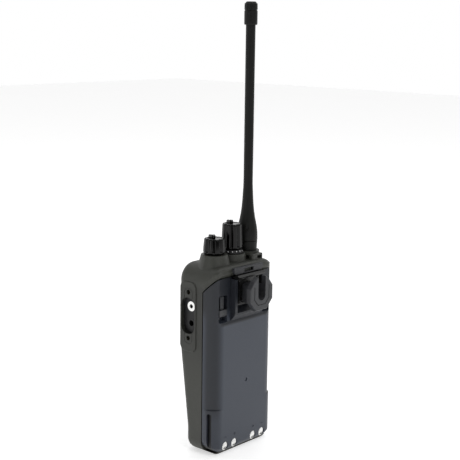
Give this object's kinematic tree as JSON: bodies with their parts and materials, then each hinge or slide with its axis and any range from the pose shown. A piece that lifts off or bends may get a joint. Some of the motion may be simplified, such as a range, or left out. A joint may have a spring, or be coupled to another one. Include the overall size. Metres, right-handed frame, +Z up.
{
  "type": "two way radio",
  "caption": "Handheld two way radio with flexible antenna, two fluted knobs, side accessory jacks, rear battery pack with latches and a slotted belt stud.",
  "frame": {"origin": "on the bottom face, in the middle of the width, where the plane between housing and battery meets it", "axes": "+Z up along the antenna, -Y the front face with display and keys, +Y the battery and belt stud, +X the accessory jack side"},
  "size_m": [0.055, 0.0427, 0.262],
  "materials": {
    "housing": "fine spark texture",
    "battery": "satin, fine texture",
    "knob": "gloss",
    "antenna_rubber": "satin",
    "black_plastic": "matt",
    "clip_plastic": "satin",
    "bright_metal": "polished",
    "steel": "brushed",
    "alloy": "die cast",
    "brass": "turned",
    "gold": "plated",
    "board": "solder mask",
    "display_clear": "clear",
    "display": "gloss",
    "silicone": "matt",
    "felt": "woven",
    "cell": "satin",
    "clear_lens": "gloss"
  },
  "bodies": {
    "radio": {"front_case": "housing", "rear_chassis": "alloy", "main_seal": "silicone", "chassis_screws": "steel", "main_board": "board", "shield_can_rf": "steel", "shield_can_logic": "steel", "front_board": "board", "display_module": "display", "display_window": "display_clear", "keypad_mat": "silicone", "speaker_frame": "steel", "speaker_cone": "black_plastic", "speaker_magnet": "steel", "speaker_mesh": "felt", "microphone": "steel", "light_pipe": "clear_lens", "side_seal": "silicone", "side_switch_board": "board", "volume_pot": "black_plastic", "volume_nut": "brass", "channel_encoder": "black_plastic", "channel_nut": "brass", "knob_seals": "silicone", "antenna_socket": "brass", "antenna_seal": "silicone", "jack_plate": "black_plastic", "jack_upper": "bright_metal", "jack_lower": "black_plastic", "accessory_inserts": "brass", "chassis_contacts": "gold"},
    "volume": {"volume_knob": "knob", "volume_shaft": "steel"},
    "channel": {"channel_knob": "knob", "channel_shaft": "steel"},
    "antenna": {"antenna_sheath": "antenna_rubber", "antenna_cap": "antenna_rubber", "antenna_pin": "brass", "antenna_ferrule": "brass", "antenna_radiator": "brass"},
    "talk_key": {"ptt_button": "silicone"},
    "upper_key": {"side_key_upper": "silicone"},
    "lower_key": {"side_key_lower": "silicone"},
    "key_1": {"front_key_1": "silicone"},
    "key_2": {"front_key_2": "silicone"},
    "key_3": {"front_key_3": "silicone"},
    "key_4": {"front_key_4": "silicone"},
    "battery": {"battery_case": "battery", "battery_cover": "battery", "battery_terminals": "gold", "battery_cells": "cell", "battery_board": "board", "charge_contacts": "bright_metal", "latch_springs": "steel"},
    "left_latch": {"latch_left": "clip_plastic"},
    "right_latch": {"latch_right": "clip_plastic"},
    "clip": {"clip_base": "clip_plastic", "belt_stud": "clip_plastic", "stud_rivet": "bright_metal"},
    "release": {"clip_release": "clip_plastic"}
  },
  "joints": [
    {"name": "volume_turn", "type": "hinge", "parent": "radio", "child": "volume", "pos_m": [0.0133, -0.0032, 0.1184], "axis": [0, 0, -1], "range_deg": [-30, 240]},
    {"name": "channel_turn", "type": "hinge", "parent": "radio", "child": "channel", "pos_m": [-0.0019, -0.0032, 0.1171], "axis": [0, 0, -1], "range_deg": [-90, 247.5]},
    {"name": "antenna_unscrew", "type": "hinge", "parent": "radio", "child": "antenna", "pos_m": [-0.0156, -0.0032, 0.1169], "axis": [0, 0, 1], "range_deg": [0, 2160]},
    {"name": "talk_press", "type": "slide", "parent": "radio", "child": "talk_key", "axis": [1, 0, 0], "range_m": [0, 0.0008], "stiffness_N_per_m": 1500},
    {"name": "upper_key_press", "type": "slide", "parent": "radio", "child": "upper_key", "axis": [1, 0, 0], "range_m": [0, 0.0006], "stiffness_N_per_m": 1500},
    {"name": "lower_key_press", "type": "slide", "parent": "radio", "child": "lower_key", "axis": [1, 0, 0], "range_m": [0, 0.0006], "stiffness_N_per_m": 1500},
    {"name": "battery_swing", "type": "hinge", "parent": "radio", "child": "battery", "pos_m": [0, 0.0075, 0.0014], "axis": [-1, 0, 0], "range_deg": [0, 25]},
    {"name": "left_latch_pull", "type": "slide", "parent": "battery", "child": "left_latch", "axis": [0, 0, -1], "range_m": [0, 0.0024], "stiffness_N_per_m": 600},
    {"name": "right_latch_pull", "type": "slide", "parent": "battery", "child": "right_latch", "axis": [0, 0, -1], "range_m": [0, 0.0024], "stiffness_N_per_m": 600},
    {"name": "clip_slide", "type": "slide", "parent": "battery", "child": "clip", "axis": [0, 0, 1], "range_m": [0, 0.02]},
    {"name": "release_pull", "type": "hinge", "parent": "clip", "child": "release", "pos_m": [0, 0.0111, 0.1081], "axis": [-1, 0, 0], "range_deg": [0, 8], "stiffness_Nm_per_rad": 0.4},
    {"name": "key_1_press", "type": "slide", "parent": "radio", "child": "key_1", "axis": [0, 1, 0], "range_m": [0, 0.0004], "stiffness_N_per_m": 1500},
    {"name": "key_2_press", "type": "slide", "parent": "radio", "child": "key_2", "axis": [0, 1, 0], "range_m": [0, 0.0004], "stiffness_N_per_m": 1500},
    {"name": "key_3_press", "type": "slide", "parent": "radio", "child": "key_3", "axis": [0, 1, 0], "range_m": [0, 0.0004], "stiffness_N_per_m": 1500},
    {"name": "key_4_press", "type": "slide", "parent": "radio", "child": "key_4", "axis": [0, 1, 0], "range_m": [0, 0.0004], "stiffness_N_per_m": 1500}
  ]
}
